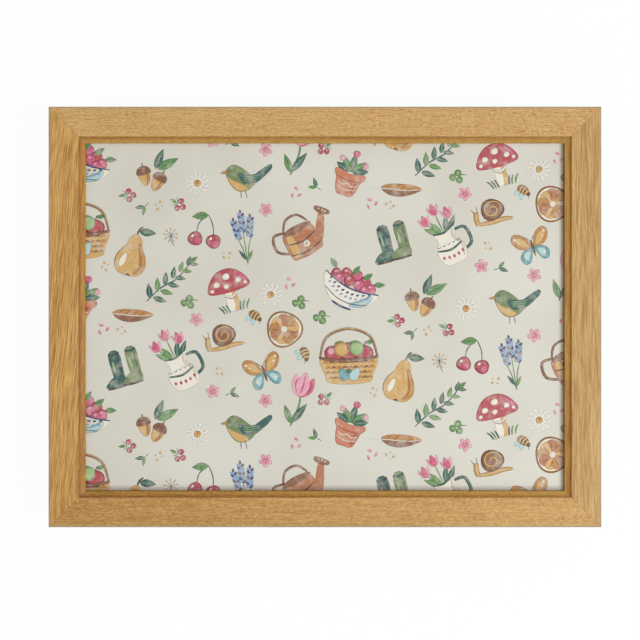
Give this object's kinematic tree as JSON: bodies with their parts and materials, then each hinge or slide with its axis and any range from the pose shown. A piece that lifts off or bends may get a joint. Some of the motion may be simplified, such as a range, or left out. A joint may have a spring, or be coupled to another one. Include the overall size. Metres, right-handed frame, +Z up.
{
  "type": "lap tray",
  "caption": "Rectangular lap tray: mitred oak-finish frame with a sunk bead round a printed board, on a detachable bean-filled cushion with a zipped cover.",
  "frame": {"origin": "under the tray's centre, on the surface that the cushion rests on", "axes": "+X along the tray's length, +Y towards its back edge, where the cushion's zip is, +Z up"},
  "size_m": [0.435, 0.331, 0.07],
  "materials": {
    "oak_moulding": "satin oak with fine straight grain",
    "printed_laminate": "satin laminate over a print on a pale greige ground",
    "fibre_board": "raw fibre board",
    "backing_paper": "plain brown paper",
    "zinc_steel": "zinc plated",
    "hook_tape": "nylon hooks",
    "loop_tape": "brushed loops",
    "cover_cotton": "plain woven cotton",
    "piping_cotton": "cotton-covered cord",
    "liner_cloth": "thin white cloth",
    "zip_tape_cloth": "woven tape",
    "zip_nylon": "nylon coil",
    "zip_metal": "brushed zinc alloy"
  },
  "bodies": {
    "cushion": {"cushion_upper_panel": "cover_cotton", "cushion_lower_panel": "cover_cotton", "cushion_piping": "piping_cotton", "bead_filled_liner": "liner_cloth", "loop_strip_front_left": "loop_tape", "loop_strip_front_right": "loop_tape", "loop_strip_back_left": "loop_tape", "loop_strip_back_right": "loop_tape", "zip_tape_upper": "zip_tape_cloth", "zip_tape_lower": "zip_tape_cloth", "zip_coil_upper": "zip_nylon", "zip_coil_lower": "zip_nylon", "zip_stop_closed_end": "zip_metal", "zip_stop_open_end": "zip_metal"},
    "tray": {"rail_front": "oak_moulding", "rail_back": "oak_moulding", "rail_left": "oak_moulding", "rail_right": "oak_moulding", "print_sheet": "printed_laminate", "tray_board": "fibre_board", "backing_sheet": "backing_paper", "v_nail_front_left_1": "zinc_steel", "v_nail_front_left_2": "zinc_steel", "v_nail_front_right_1": "zinc_steel", "v_nail_front_right_2": "zinc_steel", "v_nail_back_right_1": "zinc_steel", "v_nail_back_right_2": "zinc_steel", "v_nail_back_left_1": "zinc_steel", "v_nail_back_left_2": "zinc_steel", "retaining_point_front_1": "zinc_steel", "retaining_point_front_2": "zinc_steel", "retaining_point_front_3": "zinc_steel", "retaining_point_back_1": "zinc_steel", "retaining_point_back_2": "zinc_steel", "retaining_point_back_3": "zinc_steel", "retaining_point_left_1": "zinc_steel", "retaining_point_left_2": "zinc_steel", "retaining_point_right_1": "zinc_steel", "retaining_point_right_2": "zinc_steel", "hook_strip_front_left": "hook_tape", "hook_strip_front_right": "hook_tape", "hook_strip_back_left": "hook_tape", "hook_strip_back_right": "hook_tape"},
    "zip_slider": {"zip_slider": "zip_metal"},
    "zip_pull": {"zip_pull": "zip_metal"}
  },
  "joints": [
    {"name": "tray_lift_off", "type": "slide", "parent": "cushion", "child": "tray", "axis": [0, 0, 1], "range_m": [0, 0.12]},
    {"name": "zip_run", "type": "slide", "parent": "cushion", "child": "zip_slider", "axis": [-1, 0, 0], "range_m": [0, 0.202]},
    {"name": "zip_pull_swing", "type": "hinge", "parent": "zip_slider", "child": "zip_pull", "pos_m": [0.101, 0.14603, 0.0225], "axis": [0, 0, -1], "range_deg": [0, 175]}
  ]
}
